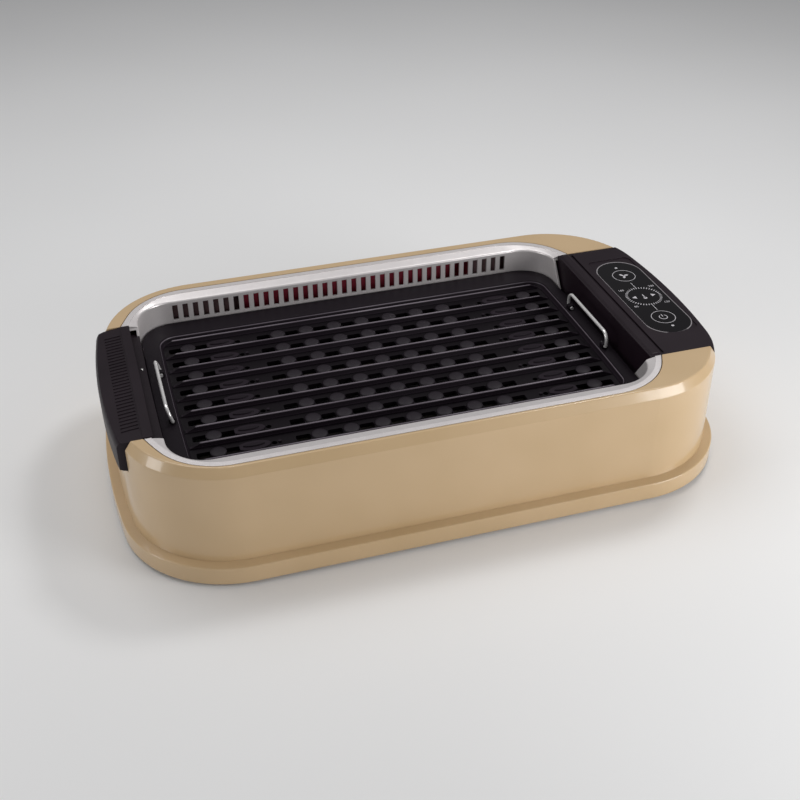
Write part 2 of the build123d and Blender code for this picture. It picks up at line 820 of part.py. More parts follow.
# Power inlet in the rear wall
wall_inside = housing_depth / 2 - shell_wall
with BuildPart() as power_inlet:
    box_between(
        (
            inlet_x - inlet_width / 2 - inlet_flange,
            wall_inside - inlet_flange_thickness,
            inlet_z - inlet_height / 2 - inlet_flange,
        ),
        (inlet_x + inlet_width / 2 + inlet_flange, wall_inside, inlet_z + inlet_height / 2 + inlet_flange),
    )
    box_between(
        (inlet_x - inlet_width / 2 + seam, wall_inside - inlet_depth, inlet_z - inlet_height / 2 + seam),
        (inlet_x + inlet_width / 2 - seam, housing_depth / 2, inlet_z + inlet_height / 2 - seam),
    )
    cavity = inlet_wall + seam
    box_between(
        (
            inlet_x - inlet_width / 2 + cavity,
            wall_inside - inlet_depth + inlet_wall,
            inlet_z - inlet_height / 2 + cavity,
        ),
        (inlet_x + inlet_width / 2 - cavity, far, inlet_z + inlet_height / 2 - cavity),
        Mode.SUBTRACT,
    )
finish(power_inlet, "power_inlet")

with BuildPart() as inlet_pins:
    pin_start = wall_inside - inlet_depth + inlet_wall
    pins_at = [(-inlet_pin_pitch, inlet_pin_low), (0, inlet_pin_high), (inlet_pin_pitch, inlet_pin_low)]
    with Locations([(inlet_x + x, pin_start, inlet_z + z) for x, z in pins_at]):
        Box(inlet_pin[0], inlet_pin[1], inlet_pin[2], align=(Align.CENTER, Align.MIN, Align.CENTER))
finish(inlet_pins, "inlet_pins")

# Rubber feet and the screws that hold the plinth to the shell's posts
with BuildPart() as rubber_feet:
    foot_places = [(sx * foot_x, sy * foot_y) for sx in (-1, 1) for sy in (-1, 1)]
    uprights(foot_places, foot_radius, 0, floor_bottom)
    fillet(edges_at(rubber_feet, 0), foot_round)
finish(rubber_feet, "rubber_feet")

with BuildPart() as housing_screws:
    uprights(post_places, screw_head_radius, floor_bottom - screw_head_height, floor_bottom)
    uprights(post_places, screw_radius, floor_bottom, floor_top + screw_length)
finish(housing_screws, "housing_screws")

# Well tub: a drawn steel tub whose flange carries the plate
with BuildPart() as well_tub:
    bowed_taper(grown(tub, -tub_draft), tub_bottom, tub, tub_top, well_middle)
    bowed_block(grown(well, surround_wall), well_middle, tub_top - tub_wall, tub_top)
    bowed_taper(
        grown(tub, -tub_draft - tub_wall),
        tub_floor,
        grown(tub, -tub_wall),
        tub_top,
        well_middle,
        Mode.SUBTRACT,
    )
finish(well_tub, "well_tub")

with BuildPart() as heat_shield:
    strip_between(shield_x, shield_x + shield_thickness, shield_half_length, floor_top, tub_top)
    strip_between(
        shield_x,
        shield_x + shield_foot,
        shield_half_length,
        floor_top,
        floor_top + shield_thickness,
    )
finish(heat_shield, "heat_shield")

with BuildPart() as thermal_cutoff:
    uprights([(cutoff_x, well_y)], cutoff_radius, tub_bottom - cutoff_height, tub_bottom)
    tab_z = tub_bottom - cutoff_height / 2
    with Locations([(cutoff_x + sx * cutoff_radius, well_y, tab_z) for sx in (-1, 1)]):
        Box(*cutoff_tab, shield_thickness)
finish(thermal_cutoff, "thermal_cutoff")

with BuildPart() as socket_block:
    strip_between(
        plug_x - plug_width / 2,
        plug_x + plug_width / 2,
        plug_length / 2,
        tub_floor,
        socket_top,
    )
    uprights(
        pin_places,
        pin_radius + pin_clearance,
        plug_bottom - pin_length - pin_bottom_gap,
        far,
        Mode.SUBTRACT,
    )
finish(socket_block, "socket_block")

# Smoke duct behind the slots, and the dark baffles beside it that back the outer slots
with BuildPart() as smoke_duct:
    box_between((duct_left, duct_front, duct_bottom), (duct_right, duct_back, duct_top))
    box_between(
        (duct_left + duct_wall, duct_front + duct_wall, 0),
        (duct_right - duct_wall, duct_back - duct_wall, far),
        Mode.SUBTRACT,
    )
    box_between(
        (duct_left + duct_wall, 0, slot_bottom - duct_sill),
        (duct_right - duct_wall, duct_front + 2 * duct_wall, far),
        Mode.SUBTRACT,
    )
finish(smoke_duct, "smoke_duct")

with BuildPart() as rear_baffle:
    baffle_left = slot_middle - slot_half_span - baffle_margin
    baffle_right = slot_middle + slot_half_span + baffle_margin
    baffle_low = slot_bottom - baffle_margin
    plate_back = duct_front + baffle_depth
    plate_front = plate_back - baffle_thickness
    for side, near, end in ((-1, duct_left, baffle_left), (1, duct_right, baffle_right)):
        near += side * baffle_gap
        box_between((min(near, end), plate_front, baffle_low), (max(near, end), plate_back, duct_top))
        foot = near + side * baffle_thickness
        box_between((min(near, foot), duct_front, baffle_low), (max(near, foot), plate_front, duct_top))
finish(rear_baffle, "rear_baffle")

# Blower under the duct: housing, bearing, motor and cradle
with BuildPart() as blower_housing:
    lying_block(duct_left, duct_right, scroll_radius)
    box_between((duct_left, duct_front, blower_z), (duct_right, duct_back, duct_bottom))
    box_between((duct_left, blower_y, outlet_bottom), (duct_right, duct_back, outlet_bottom + outlet_height))
    saddle_x = (duct_right - duct_left) / 3
    with Locations([(duct_middle + i * saddle_x, blower_y, floor_top) for i in (-1, 1)]):
        Box(
            saddle_length,
            saddle_width,
            blower_z - floor_top,
            align=(Align.CENTER, Align.CENTER, Align.MIN),
        )
    lying_block(duct_left + duct_wall, duct_right - duct_wall, scroll_radius - duct_wall, Mode.SUBTRACT)
    box_between(
        (duct_left + duct_wall, duct_front + duct_wall, blower_z),
        (duct_right - duct_wall, duct_back - duct_wall, far),
        Mode.SUBTRACT,
    )
    box_between(
        (duct_left + duct_wall, blower_y, outlet_bottom + duct_wall),
        (duct_right - duct_wall, far, outlet_bottom + outlet_height - duct_wall),
        Mode.SUBTRACT,
    )
    lying_block(duct_left - far, duct_right + far, shaft_hole, Mode.SUBTRACT)
finish(blower_housing, "blower_housing")

with BuildPart() as shaft_bearing:
    lying_block(duct_right, duct_right + bearing_length, bearing_radius)
    lying_block(0, far, shaft_radius + shaft_clearance, Mode.SUBTRACT)
finish(shaft_bearing, "shaft_bearing")

motor_right = duct_left - motor_gap
motor_left = motor_right - motor_length
with BuildPart() as blower_motor:
    lying_block(motor_left, motor_right, motor_radius)
    fillet(blower_motor.edges(), motor_round)
    lying_block(motor_left - motor_boss, motor_left, motor_radius / 2)
    lying_block(motor_right, motor_right + motor_gap, shaft_hole + motor_nose)
    lying_block(motor_right - motor_bore, far, shaft_radius + shaft_clearance, Mode.SUBTRACT)
finish(blower_motor, "blower_motor")

with BuildPart() as motor_cradle:
    with Locations(((motor_left + motor_right) / 2, blower_y, floor_top)):
        Box(cradle_length, cradle_width, cradle_height, align=(Align.CENTER, Align.CENTER, Align.MIN))
    lying_block(motor_left, motor_right, motor_radius, Mode.SUBTRACT)
finish(motor_cradle, "motor_cradle")

# Impeller: a drum of blades between two discs, on its shaft
drum_left = duct_left + duct_wall + impeller_end_gap
drum_right = duct_right - duct_wall - impeller_end_gap
with BuildPart() as blower_impeller:
    lying_block(drum_left, drum_left + impeller_disc, impeller_radius)
    lying_block(drum_right - impeller_disc, drum_right, impeller_radius)
    with BuildSketch(Plane((drum_left, blower_y, blower_z), x_dir=(0, 1, 0), z_dir=(1, 0, 0))) as blades:
        with PolarLocations(impeller_radius - blade_depth / 2 - blade_inset, blade_count):
            Rectangle(blade_depth, blade_thickness, rotation=blade_turn)
    extrude(blades.sketch, amount=drum_right - drum_left)
    lying_block(drum_left, drum_right, shaft_radius, Mode.SUBTRACT)
finish(blower_impeller, "blower_impeller")

with BuildPart() as impeller_shaft:
    lying_block(motor_right - motor_bore + shaft_end, duct_right + bearing_length + shaft_end, shaft_radius)
finish(impeller_shaft, "impeller_shaft")

# Drip tray in the tub
with BuildPart() as drip_tray:
    bowed_taper(grown(tray, -tray_draft), tray_bottom, tray, tray_top, tray_middle)
    bowed_block(grown(tray, tray_rim), tray_middle, tray_top - tray_wall, tray_top)
    bowed_taper(
        grown(tray, -tray_draft - tray_wall),
        tray_bottom + tray_wall,
        grown(tray, -tray_wall),
        tray_top,
        tray_middle,
        Mode.SUBTRACT,
    )
finish(drip_tray, "drip_tray")

# Cooking plate: a flat rim with a down-turned edge around a shallow ribbed pan
plate_level = Plane((pan_x, well_y, pan_floor))
with BuildPart() as ribs:
    rib_start = Plane((pan_x - rib_half_length, well_y, pan_floor), x_dir=(0, 1, 0), z_dir=(1, 0, 0))
    with BuildSketch(rib_start) as section:
        for i, offset in enumerate(rib_offsets):
            half = (narrow_rib if i % 2 else wide_rib) / 2
            with BuildLine() as rib_edge:
                Polyline(
                    (offset - rib_crest, rib_height - rib_crest),
                    (offset - half, -rib_root),
                    (offset + half, -rib_root),
                    (offset + rib_crest, rib_height - rib_crest),
                )
                ThreePointArc(
                    (offset + rib_crest, rib_height - rib_crest),
                    (offset, rib_height),
                    (offset - rib_crest, rib_height - rib_crest),
                )
            make_face()
    extrude(section.sketch, amount=2 * rib_half_length)
    with BuildSketch(Plane.XZ.offset(-far)) as rib_ends:
        for side in (-1, 1):
            end = pan_x + side * rib_half_length
            Polygon(
                (end - side * rib_end_foot, pan_floor),
                (end - side * rib_end_slope, pan_floor + rib_height),
                (end - side * rib_end_slope, pan_floor + 2 * rib_height),
                (end + side * rib_end_slope, pan_floor + 2 * rib_height),
                (end + side * rib_end_slope, pan_floor - rib_height),
                (end - side * rib_end_foot, pan_floor - rib_height),
                align=None,
            )
    extrude(rib_ends.sketch, amount=2 * far, mode=Mode.SUBTRACT)

with BuildPart() as grill_plate:
    bowed_block(plate_outline, well_middle, pan_bottom, rim_top)
    bowed_taper(
        grown(pan_opening, -pan_slope),
        pan_floor,
        pan_opening,
        rim_top,
        pan_middle,
        Mode.SUBTRACT,
    )
    fillet(edges_at(grill_plate, rim_top), rim_round)
    with BuildPart(mode=Mode.PRIVATE) as channel:
        bowed_block(grown(plate_outline, -rim_thickness), well_middle, 0, rim_bottom)
        bowed_taper(
            grown(pan_opening, rim_thickness - pan_slope),
            pan_bottom,
            grown(pan_opening, rim_thickness),
            rim_bottom,
            pan_middle,
            Mode.SUBTRACT,
        )
        bowed_block(grown(plate_outline, -rim_thickness), well_middle, 0, pan_bottom, Mode.SUBTRACT)
    add(channel.part, mode=Mode.SUBTRACT)
    add(ribs.part)
    disc_places = [(side * x, y) for y in valley_offsets for x in disc_row for side in (-1, 1) if x or side > 0]
    with BuildSketch(plate_level) as discs:
        with Locations(disc_places):
            Circle(disc_radius)
    extrude(discs.sketch, amount=disc_rise, taper=disc_taper)
    hump_places = [(side * (pan_half_length - hump_from_end), y) for y in valley_offsets for side in (-1, 1)]
    with BuildSketch(plate_level) as humps:
        with Locations(hump_places):
            Ellipse(hump_length / 2, hump_width / 2)
    extrude(humps.sketch, amount=hump_rise, taper=hump_taper)
    with BuildSketch(plate_level) as hump_crests:
        with Locations(hump_places):
            Ellipse(hump_crest_length / 2, hump_crest_width / 2)
    extrude(hump_crests.sketch, amount=hump_crest_rise, taper=hump_taper)
    hole_x = pan_half_length - hole_from_end
    with BuildSketch(plate_level) as studs:
        with Locations([(side * (hole_x - stud_spread), y) for y in valley_offsets[::2] for side in (-1, 1)]):
            Circle(stud_radius)
    extrude(studs.sketch, amount=stud_rise)
    with BuildSketch(plate_level) as drains:
        with Locations([(side * x, y) for y in valley_offsets for x in drain_row for side in (-1, 1)]):
            RectangleRounded(drain_length, drain_width, drain_round)
        with Locations([(side * hole_x, y) for y in valley_offsets for side in (-1, 1)]):
            Circle(hole_radius)
    extrude(drains.sketch, amount=rib_height, both=True, mode=Mode.SUBTRACT)
finish(grill_plate, "grill_plate")

# Lugs on the plate's rim that carry the bails
bail_xs = [pan_x + side * (pan_half_length + bail_from_pan) for side in (-1, 1)]
lug_far = bail_half - bail_wire / 2 - lug_gap
lug_middle = lug_far - lug_length / 2
with BuildPart() as bail_lugs:
    for x in bail_xs:
        for side in (-1, 1):
            with Locations((x, well_y + side * lug_middle, rim_top)):
                Box(
                    lug_width,
                    lug_length,
                    pivot_height + bail_wire / 2 + lug_cover,
                    align=(Align.CENTER, Align.CENTER, Align.MIN),
                )
    fillet(edges_at(bail_lugs, pivot_z + bail_wire / 2 + lug_cover).filter_by(Axis.Y), lug_round)
    for x in bail_xs:
        with Locations((x, well_y, pivot_z)):
            Cylinder(
                bail_wire / 2 + pivot_clearance,
                2 * bail_half,
                rotation=(90, 0, 0),
                mode=Mode.SUBTRACT,
            )
finish(bail_lugs, "bail_lugs")


def bail(x, lean):
    """A wire bail on its pivots at x, leaning by an angle away from the middle of the left end."""
    facing = (cos(radians(lean)), 0, sin(radians(lean)))
    with BuildPart() as wire_part:
        with BuildLine(Plane((x, well_y, pivot_z), x_dir=(0, 1, 0), z_dir=facing)) as route:
            low = bail_half - bail_foot_bend
            high = bail_half - bail_top_bend
            foot = low - bail_foot
            Line((-foot, 0), (-low, 0))
            CenterArc((-low, bail_foot_bend), bail_foot_bend, 270, -90)
            Line((-bail_half, bail_foot_bend), (-bail_half, bail_height - bail_top_bend))
            CenterArc((-high, bail_height - bail_top_bend), bail_top_bend, 180, -90)
            Line((-high, bail_height), (high, bail_height))
            CenterArc((high, bail_height - bail_top_bend), bail_top_bend, 90, -90)
            Line((bail_half, bail_height - bail_top_bend), (bail_half, bail_foot_bend))
            CenterArc((low, bail_foot_bend), bail_foot_bend, 0, -90)
            Line((low, 0), (foot, 0))
        with BuildSketch(Plane(origin=(x, well_y - foot, pivot_z), z_dir=(0, -1, 0))) as wire:
            Circle(bail_wire / 2)
        sweep(wire.sketch, path=route.line)
    return wire_part


right_bail = bail(bail_xs[1], 0.0)
finish(right_bail, "right_bail")

left_bail = bail(bail_xs[0], bail_lean)
finish(left_bail, "left_bail")

# Heating element under the pan, its clips, and the plug that carries it
near, mid, outer = element_runs
start_x = plug_x - plug_width / 2
inner_left = pan_x - pan_half_length + element_left_gap
outer_left = pan_x - pan_half_length + element_outer_gap
right_end = pan_x + pan_half_length - element_right_gap
with BuildPart() as heating_element:
    with BuildLine(Plane((0, well_y, element_z))) as route:
        FilletPolyline(
            (start_x, near),
            (inner_left, near),
            (inner_left, mid),
            (right_end, mid),
            (right_end, outer),
            (outer_left, outer),
            (outer_left, -outer),
            (right_end, -outer),
            (right_end, -mid),
            (inner_left, -mid),
            (inner_left, -near),
            (start_x, -near),
            radius=element_bend,
        )
    with BuildSketch(Plane(origin=(start_x, well_y + near, element_z), z_dir=(-1, 0, 0))) as rod:
        Circle(element_wire / 2)
    sweep(rod.sketch, path=route.line)
finish(heating_element, "heating_element")

with BuildPart() as element_clips:
    clip_top = clip_bottom + clip_thickness
    leg_ys = [side * (run + element_runs[0]) for run in element_runs for side in (-1, 1)]
    for x in (pan_x - pan_half_length + clip_left_gap, pan_x, pan_x + pan_half_length - clip_right_gap):
        strip_between(
            x - clip_width / 2,
            x + clip_width / 2,
            outer + near + clip_leg / 2,
            clip_bottom,
            clip_top,
        )
        with Locations([(x, well_y + y, clip_top) for y in leg_ys]):
            Box(
                clip_width,
                clip_leg,
                pan_bottom - clip_top,
                align=(Align.CENTER, Align.CENTER, Align.MIN),
            )
finish(element_clips, "element_clips")

with BuildPart() as plug_block:
    strip_between(plug_x - plug_width / 2, plug_x + plug_width / 2, plug_length / 2, plug_bottom, plug_top)
    fillet(plug_block.edges().filter_by(Axis.Z), plug_round)
finish(plug_block, "plug_block")

with BuildPart() as plug_pins:
    uprights(pin_places, pin_radius, plug_bottom - pin_length, plug_bottom)
    fillet(edges_at(plug_pins, plug_bottom - pin_length), pin_round)
finish(plug_pins, "plug_pins")
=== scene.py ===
"""Smokeless indoor grill: finishes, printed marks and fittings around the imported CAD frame.

Metres, in the frame of the CAD model: X to the console end, Y to the slotted rear wall, Z up.
"""

import math

import bpy
from mathutils import Matrix, Vector


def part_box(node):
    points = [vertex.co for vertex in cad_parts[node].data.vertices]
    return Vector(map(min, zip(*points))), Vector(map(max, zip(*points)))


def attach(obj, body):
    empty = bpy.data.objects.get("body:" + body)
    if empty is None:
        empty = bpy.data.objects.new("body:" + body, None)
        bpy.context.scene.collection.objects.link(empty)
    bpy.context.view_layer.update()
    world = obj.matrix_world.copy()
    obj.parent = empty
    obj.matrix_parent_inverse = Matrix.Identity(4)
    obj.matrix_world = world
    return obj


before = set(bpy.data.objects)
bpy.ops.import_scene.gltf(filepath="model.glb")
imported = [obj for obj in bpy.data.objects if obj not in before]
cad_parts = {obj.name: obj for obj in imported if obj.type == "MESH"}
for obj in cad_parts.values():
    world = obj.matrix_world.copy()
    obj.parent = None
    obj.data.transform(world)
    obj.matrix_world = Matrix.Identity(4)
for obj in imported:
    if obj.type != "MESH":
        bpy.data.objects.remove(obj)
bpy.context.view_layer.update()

MM = 0.001

# Photograph's camera
CAMERA_PLACE = Vector((-0.25257, -0.8285, 0.6206))
CAMERA_AZIMUTH = -16.661
CAMERA_ELEVATION = 34.053
CAMERA_ROLL = -0.543
CAMERA_LENS = 52.18
SENSOR_WIDTH = 36.0
NEAR_CLIP = 0.01

# Real sizes of the patterns in the finishes: slow drifts of tone, haze and the painted
# crest highlight, then grains and lines; flakes, sparks and specks are drawn coarser than
# life so that they show
DRIFT = 60 * MM
HAZE = 25 * MM
PEEL = 2.5 * MM
FLAKE = 0.7 * MM
SPRAY = 6 * MM
SPARK = 0.9 * MM
FINGER = 18 * MM
# Size of the slow drift in brightness of the painted highlight on the rib crests
HIGHLIGHT_DRIFT = 110 * MM
SPECK = 0.8 * MM
DRAWN = 1.5 * MM
ROLLED = 1.0 * MM
ROLL_STRETCH = 0.05
PAPER = 400 * MM

# Sockets of the mix node that colours use, by number because several share a name
MIX_FACTOR = 0
MIX_BASE = 6
MIX_TOP = 7
MIX_COLOUR = 2

# Radius by which the edges of moulded and coated parts look rounded
EDGE_MOULDED = 0.5 * MM
EDGE_COATED = 0.35 * MM
EDGE_SAMPLES = 4

# Print on the touch panel, measured from the middle of the glass
PRINT_HEIGHT = 0.04 * MM
PRINT_LINE = 0.5 * MM
RING_SIDES = 72
KEY_RADIUS = 10.6 * MM
REAR_KEY = (1.0 * MM, 40.2 * MM)
FRONT_KEY = (0.0, -40.5 * MM)
DIAL = (0.8 * MM, -1.2 * MM)
DIAL_RADIUS = 15.6 * MM
TICK_COUNT = 40
TICK_SIZE = (2.3 * MM, 0.75 * MM)
ARROW_RADIUS = 2.8 * MM
ARROW_FROM_DIAL = 8.9 * MM
LOWEST_NUMBER = 40
NUMBER_STEP = 40
NUMBER_SIZE = 3.8 * MM
NUMBER_ACROSS = 15.2 * MM
NUMBER_ALONG = 15.6 * MM
STEM_FROM_DIAL = 17.0 * MM
STEM_LENGTH = 9.5 * MM
DOT_RADIUS = 1.3 * MM
DOT_ALONG = 56.5 * MM
# Power mark: an open ring with a bar in its gap, in shares of the ring's radius
POWER_RADIUS = 3.6 * MM
POWER_LINE = 1.4 * PRINT_LINE
POWER_OPEN_FROM = 0.8
POWER_BAR_PLACE = 0.75 * POWER_RADIUS
POWER_BAR_LENGTH = 1.1 * POWER_RADIUS
# Fan: half axes of a blade, and how far its middle lies from the hub
FAN_BLADE = (2.2 * MM, 1.15 * MM)
FAN_BLADE_PLACE = (1.1 * FAN_BLADE[0], 0.5 * FAN_BLADE[1])
FAN_BLADES = 3
# Thermometer
BULB_RADIUS = 1.7 * MM
BULB_STEM = 6.5 * MM
BULB_STEM_WIDTH = 1.8 * PRINT_LINE

# The plate's pan, with its ribs in rows, measured from the plate's outline
PAN_DEPTH = 5.8 * MM
PLATE_GAP = 1.0 * MM
PAN_RIM_END = 14.0 * MM
PAN_RIM_SIDE = 24.3 * MM
PAN_SHIFT = 1.6 * MM
RIB_ROWS = 8
RIB_SIDE_GAP = 6.8 * MM

# Low domes that crown the round pads between the ribs
DOME_RADIUS = 6.7 * MM
DOME_RISE = 1.5 * MM
DOME_SEAT = 0.85 * MM
DOME_SEGMENTS = 36
DOME_RINGS = 18
DOME_PITCH = 26.5 * MM
INNER_DOMES = 4
LAST_DOME_FROM_END = 25.5 * MM

# Rivet on the ledge beside the left grip
RIVET_RADIUS = 1.3 * MM
RIVET_RISE = 0.8 * MM
RIVET_ROUND = 0.35 * MM
RIVET_FROM_EDGE = 4.5 * MM
RIVET_Y = 23.0 * MM
RIVET_LEDGE = 97.0 * MM
RIVET_SIDES = 48
RIVET_ROUND_STEPS = 4

# Faces that meet at less than this angle are shaded as one smooth surface
SMOOTH_BELOW = math.radians(40)

# Studio: floor, even light of the world, and softboxes as name, place, width, height, watts
# and the point that each faces
STAGE_SIZE = 8.0
WORLD_TINT = "#F4F4F6"
WORLD_STRENGTH = 0.24
GRILL_MIDDLE = Vector((0.0, 0.0, 0.06))
FRONT_WALL_RIGHT = Vector((0.2, -0.1, 0.05))
LEFT_END = Vector((-0.26, -0.02, 0.05))
SOFTBOXES = (
    ("overhead_softbox", (-0.40, 0.50, 1.5), 1.1, 1.1, 8.0, GRILL_MIDDLE),
    ("rear_right_softbox", (0.66, 0.42, 1.30), 0.34, 0.28, 5.0, GRILL_MIDDLE),
    ("front_right_softbox", (0.80, -0.80, 0.35), 0.5, 0.5, 6.8, FRONT_WALL_RIGHT),
    ("left_rim_softbox", (-1.20, -0.16, 0.42), 0.3, 0.5, 2.6, LEFT_END),
)


def linear(colour):
    """An sRGB hex colour as the linear RGBA that shaders use."""
    parts = [int(colour[i : i + 2], 16) / 255 for i in (1, 3, 5)]
    return [v / 12.92 if v <= 0.04045 else ((v + 0.055) / 1.055) ** 2.4 for v in parts] + [1.0]


def put(tree, kind, values=None, links=None, stops=None, **settings):
    """Adds a node with its settings, socket values, incoming links and colour stops."""
    node = tree.nodes.new(kind)
    for name, value in settings.items():
        setattr(node, name, value)
    for socket, value in (values or {}).items():
        node.inputs[socket].default_value = value
    for socket, source in (links or {}).items():
        tree.links.new(source, node.inputs[socket])
    for index, (position, colour) in enumerate(stops or []):
        if index > 1:
            node.color_ramp.elements.new(position)
        node.color_ramp.elements[index].position = position
        node.color_ramp.elements[index].color = linear(colour)
    return node


def new_finish(name, **sockets):
    """Starts a material with some sockets of its shader set; gives material, tree and shader."""
    material = bpy.data.materials.new(name)
    material.use_nodes = True
    tree = material.node_tree
    shader = tree.nodes["Principled BSDF"]
    for socket, value in sockets.items():
        shader.inputs[socket.replace("_", " ")].default_value = value
    return material, tree, shader


def feed_shader(tree, shader, colour, sheen, skin=None):
    """Feeds a shader its colour, its roughness and, where there is one, its bumped normal."""
    tree.links.new(colour, shader.inputs["Base Color"])
    tree.links.new(sheen, shader.inputs["Roughness"])
    if skin is not None:
        tree.links.new(skin, shader.inputs["Normal"])


def champagne_abs():
    """Lacquered ABS moulding: olive beige that drifts a little, glossy, with faint orange peel."""
    material, tree, shader = new_finish(
        "champagne_lacquered_abs", IOR=1.48, Coat_Weight=0.6, Coat_Roughness=0.08
    )
    where = put(tree, "ShaderNodeTexCoord").outputs["Object"]
    cloud = put(
        tree, "ShaderNodeTexNoise", {"Scale": 1 / DRIFT, "Detail": 1.0}, {"Vector": where}
    ).outputs["Fac"]
    colour = put(
        tree, "ShaderNodeValToRGB", links={"Fac": cloud}, stops=[(0.3, "#C8AB82"), (0.7, "#CEB189")]
    ).outputs["Color"]
    haze = put(
        tree, "ShaderNodeTexNoise", {"Scale": 1 / HAZE, "Detail": 2.0}, {"Vector": where}
    ).outputs["Fac"]
    sheen = put(
        tree, "ShaderNodeMapRange", {"To Min": 0.28, "To Max": 0.38}, {"Value": haze}
    ).outputs["Result"]
    peel = put(
        tree, "ShaderNodeTexNoise", {"Scale": 1 / PEEL, "Detail": 1.0}, {"Vector": where}
    ).outputs["Fac"]
    edges = put(
        tree, "ShaderNodeBevel", {"Radius": EDGE_MOULDED}, samples=EDGE_SAMPLES
    ).outputs["Normal"]
    skin = put(
        tree,
        "ShaderNodeBump",
        {"Strength": 0.25, "Distance": 0.02 * MM},
        {"Height": peel, "Normal": edges},
    ).outputs["Normal"]
    feed_shader(tree, shader, colour, sheen, skin)
    return material


def silver_lacquer():
    """Silver lacquer on a moulding: fine metal flakes in a satin binder, warm pale grey."""
    material, tree, shader = new_finish("silver_satin_lacquer", Metallic=0.5, IOR=1.5)
    where = put(tree, "ShaderNodeTexCoord").outputs["Object"]
    flake = put(
        tree,
        "ShaderNodeTexNoise",
        {"Scale": 1 / FLAKE, "Detail": 3.0, "Roughness": 0.7},
        {"Vector": where},
    ).outputs["Fac"]
    colour = put(
        tree, "ShaderNodeValToRGB", links={"Fac": flake}, stops=[(0.3, "#E2DCDC"), (0.7, "#F0EBEA")]
    ).outputs["Color"]
    haze = put(
        tree, "ShaderNodeTexNoise", {"Scale": 1 / SPRAY, "Detail": 2.0}, {"Vector": where}
    ).outputs["Fac"]
    sheen = put(
        tree, "ShaderNodeMapRange", {"To Min": 0.3, "To Max": 0.42}, {"Value": haze}
    ).outputs["Result"]
    edges = put(
        tree, "ShaderNodeBevel", {"Radius": EDGE_MOULDED}, samples=EDGE_SAMPLES
    ).outputs["Normal"]
    skin = put(
        tree,
        "ShaderNodeBump",
        {"Strength": 0.25, "Distance": 0.01 * MM},
        {"Height": flake, "Normal": edges},
    ).outputs["Normal"]
    feed_shader(tree, shader, colour, sheen, skin)
    return material


def black_grained_abs():
    """Black ABS from a spark-eroded mould: a warm near-black with a fine even grain, satin."""
    material, tree, shader = new_finish("black_grained_abs", IOR=1.46, Specular_IOR_Level=0.2)
    where = put(tree, "ShaderNodeTexCoord").outputs["Object"]
    grain = put(
        tree,
        "ShaderNodeTexNoise",
        {"Scale": 1 / SPARK, "Detail": 3.0, "Roughness": 0.6},
        {"Vector": where},
    ).outputs["Fac"]
    cloud = put(
        tree, "ShaderNodeTexNoise", {"Scale": 1 / DRIFT, "Detail": 2.0}, {"Vector": where}
    ).outputs["Fac"]
    colour = put(
        tree, "ShaderNodeValToRGB", links={"Fac": cloud}, stops=[(0.3, "#1A1017"), (0.7, "#231920")]
    ).outputs["Color"]
    sheen = put(
        tree, "ShaderNodeMapRange", {"To Min": 0.36, "To Max": 0.5}, {"Value": grain}
    ).outputs["Result"]
    edges = put(
        tree, "ShaderNodeBevel", {"Radius": EDGE_MOULDED}, samples=EDGE_SAMPLES
    ).outputs["Normal"]
    skin = put(
        tree,
        "ShaderNodeBump",
        {"Strength": 0.4, "Distance": 0.03 * MM},
        {"Height": grain, "Normal": edges},
    ).outputs["Normal"]
    feed_shader(tree, shader, colour, sheen, skin)
    return material


def panel_glass():
    """Back-printed black glass: deep and smooth, with a trace of finger marks in its gloss."""
    material, tree, shader = new_finish(
        "back_printed_black_glass", IOR=1.46, Specular_IOR_Level=0.25
    )
    where = put(tree, "ShaderNodeTexCoord").outputs["Object"]
    depth = put(
        tree, "ShaderNodeTexNoise", {"Scale": 1 / DRIFT, "Detail": 2.0}, {"Vector": where}
    ).outputs["Fac"]
    colour = put(
        tree, "ShaderNodeValToRGB", links={"Fac": depth}, stops=[(0.2, "#0B090C"), (0.8, "#100D11")]
    ).outputs["Color"]
    marks = put(
        tree, "ShaderNodeTexNoise", {"Scale": 1 / FINGER, "Detail": 4.0}, {"Vector": where}
    ).outputs["Fac"]
    sheen = put(
        tree, "ShaderNodeMapRange", {"To Min": 0.06, "To Max": 0.14}, {"Value": marks}
    ).outputs["Result"]
    feed_shader(tree, shader, colour, sheen)
    return material


